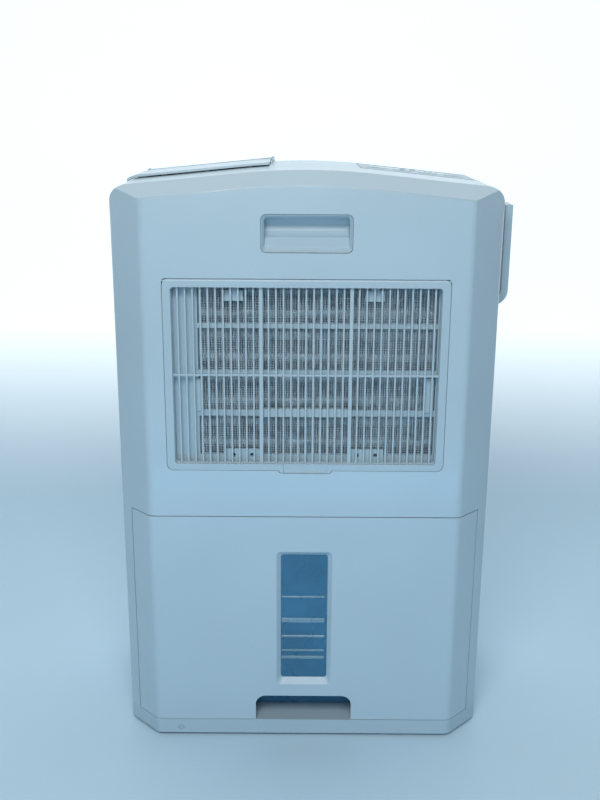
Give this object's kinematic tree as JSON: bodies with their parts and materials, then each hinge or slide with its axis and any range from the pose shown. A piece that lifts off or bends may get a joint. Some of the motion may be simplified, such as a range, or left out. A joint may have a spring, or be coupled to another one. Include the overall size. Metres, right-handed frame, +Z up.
{
  "type": "dehumidifier",
  "caption": "Upright compressor dehumidifier with crowned top, front intake grille and filter, slide-out water tank with level window, outlet flap and side cord hook.",
  "frame": {"origin": "on the floor, at the middle of the whole part's bounding box", "axes": "+Z up, the intake grille and the tank face -Y, the cord hook stands out at +X"},
  "size_m": [0.3792, 0.205, 0.5765],
  "materials": {
    "casing": "glossy pale blue-grey ABS with a fine moulded skin",
    "trim": "satin pale blue-grey ABS",
    "key": "satin moulded key cap",
    "filter_frame": "satin polypropylene frame",
    "filter_mesh": "fine woven filter net",
    "tank": "translucent blue-grey polypropylene",
    "tank_lid": "satin polypropylene",
    "float": "white foam",
    "magnet": "dark ferrite",
    "rubber": "matt black rubber",
    "screw": "zinc-plated steel",
    "dark_plastic": "dark grey moulded plastic",
    "display": "smoked acrylic",
    "board": "green solder mask",
    "fins": "aluminium fins with a pale blue coating",
    "copper": "drawn copper",
    "steel": "galvanised sheet steel",
    "compressor": "black enamel",
    "inner_plastic": "grey moulded plastic",
    "capacitor": "satin drawn can"
  },
  "bodies": {
    "chassis": {"accumulator": "copper", "base_pan": "trim", "capillary_tube": "copper", "case_screws": "screw", "coil_end_plates": "steel", "compressor": "compressor", "compressor_mounts": "rubber", "condenser_fins": "fins", "condenser_tubes": "copper", "control_board": "board", "control_panel": "trim", "cord_hook": "trim", "cord_inlet": "rubber", "display_window": "display", "drip_tray": "inner_plastic", "electronics_box": "inner_plastic", "evaporator_fins": "fins", "evaporator_tubes": "copper", "fan_motor": "steel", "fan_scroll": "inner_plastic", "front_grip": "trim", "front_shell": "casing", "humidity_sensor": "board", "main_board": "board", "outlet_duct": "inner_plastic", "outlet_guard": "dark_plastic", "partition": "steel", "rear_grip": "trim", "rear_shell": "casing", "refrigerant_pipes": "copper", "rubber_feet": "rubber", "run_capacitor": "capacitor", "tank_switch": "dark_plastic", "top_cover": "casing"},
    "grille": {"intake_grille": "trim", "filter_frame": "filter_frame", "filter_mesh": "filter_mesh"},
    "flap": {"outlet_flap": "casing"},
    "tank": {"tank_body": "tank", "tank_cover": "casing", "tank_lid": "tank_lid"},
    "float": {"tank_float": "float", "float_magnet": "magnet"},
    "blower": {"blower_wheel": "dark_plastic", "blower_shaft": "steel"},
    "power_button": {"power_key": "key"},
    "mode_button": {"mode_key": "key"},
    "timer_button": {"timer_key": "key"},
    "fan_button": {"fan_key": "key"}
  },
  "joints": [
    {"name": "grille_tilt", "type": "hinge", "parent": "chassis", "child": "grille", "pos_m": [-0.0076, -0.1005, 0.475], "axis": [-1, 0, 0], "range_deg": [0, 60]},
    {"name": "flap_lift", "type": "hinge", "parent": "chassis", "child": "flap", "pos_m": [-0.10731, 0.0818, 0.56718], "axis": [-0.995, 0, -0.1003], "range_deg": [0, 75]},
    {"name": "tank_slide", "type": "slide", "parent": "chassis", "child": "tank", "axis": [0, -1, 0], "range_m": [0, 0.15]},
    {"name": "float_swing", "type": "hinge", "parent": "tank", "child": "float", "pos_m": [0.0924, -0.028, 0.218], "axis": [-1, 0, 0], "range_deg": [0, 14]},
    {"name": "blower_spin", "type": "hinge", "parent": "chassis", "child": "blower", "pos_m": [-0.0036, 0.027, 0.378], "axis": [0, 1, 0], "continuous": true},
    {"name": "power_press", "type": "slide", "parent": "chassis", "child": "power_button", "axis": [-0.1003, 0, -0.995], "range_m": [0, 0.0015], "stiffness_N_per_m": 400, "springref_m": -0.0006},
    {"name": "mode_press", "type": "slide", "parent": "chassis", "child": "mode_button", "axis": [-0.1003, 0, -0.995], "range_m": [0, 0.0015], "stiffness_N_per_m": 400, "springref_m": -0.0006},
    {"name": "timer_press", "type": "slide", "parent": "chassis", "child": "timer_button", "axis": [-0.1003, 0, -0.995], "range_m": [0, 0.0015], "stiffness_N_per_m": 400, "springref_m": -0.0006},
    {"name": "fan_press", "type": "slide", "parent": "chassis", "child": "fan_button", "axis": [-0.1003, 0, -0.995], "range_m": [0, 0.0015], "stiffness_N_per_m": 400, "springref_m": -0.0006}
  ]
}
